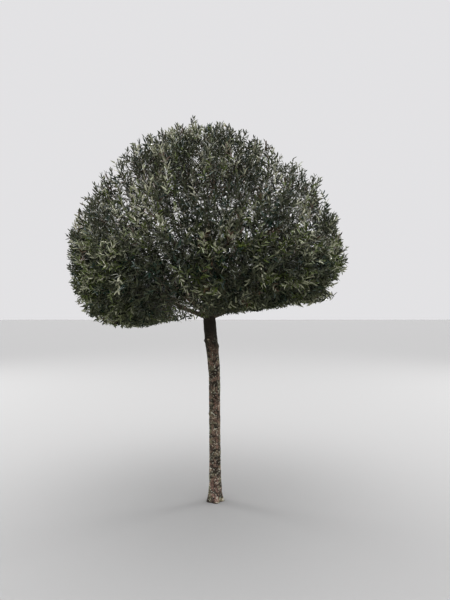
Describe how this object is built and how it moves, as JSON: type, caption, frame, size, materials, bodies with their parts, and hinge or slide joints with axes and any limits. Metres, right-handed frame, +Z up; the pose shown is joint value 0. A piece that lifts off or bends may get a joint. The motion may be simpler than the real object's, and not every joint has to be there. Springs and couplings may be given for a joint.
{
  "type": "olive tree",
  "caption": "Olive tree grown as a standard: a slender clear stem, boughs that spread from its fork and a dense crown of narrow grey-green leaves clipped to a dome.",
  "frame": {"origin": "the middle of the flat cut under the stem, at ground level", "axes": "+Z up the tree; -Y towards the viewer of the picture and +X to the viewer's right"},
  "size_m": [2.313, 2.2947, 3.2193],
  "materials": {
    "bark": "rough grey-brown bark, finely fissured, with dark patches and spots of pale lichen",
    "leaf": "leathery olive leaves, dark grey-green and faintly glossy above, silvery and dull below"
  },
  "bodies": {
    "root": {"trunk": "bark", "bough_leader": "bark", "bough_skirt_1": "bark", "bough_skirt_2": "bark", "bough_skirt_3": "bark", "bough_skirt_4": "bark", "bough_skirt_5": "bark", "bough_skirt_6": "bark", "bough_shoulder_1": "bark", "bough_shoulder_2": "bark", "bough_shoulder_3": "bark", "bough_shoulder_4": "bark", "bough_shoulder_5": "bark", "foliage_skirt_1": "leaf", "foliage_skirt_2": "leaf", "foliage_skirt_3": "leaf", "foliage_skirt_4": "leaf", "foliage_skirt_5": "leaf", "foliage_skirt_6": "leaf", "foliage_shoulder_1": "leaf", "foliage_shoulder_2": "leaf", "foliage_shoulder_3": "leaf", "foliage_shoulder_4": "leaf", "foliage_shoulder_5": "leaf", "foliage_crest": "leaf"}
  },
  "joints": []
}
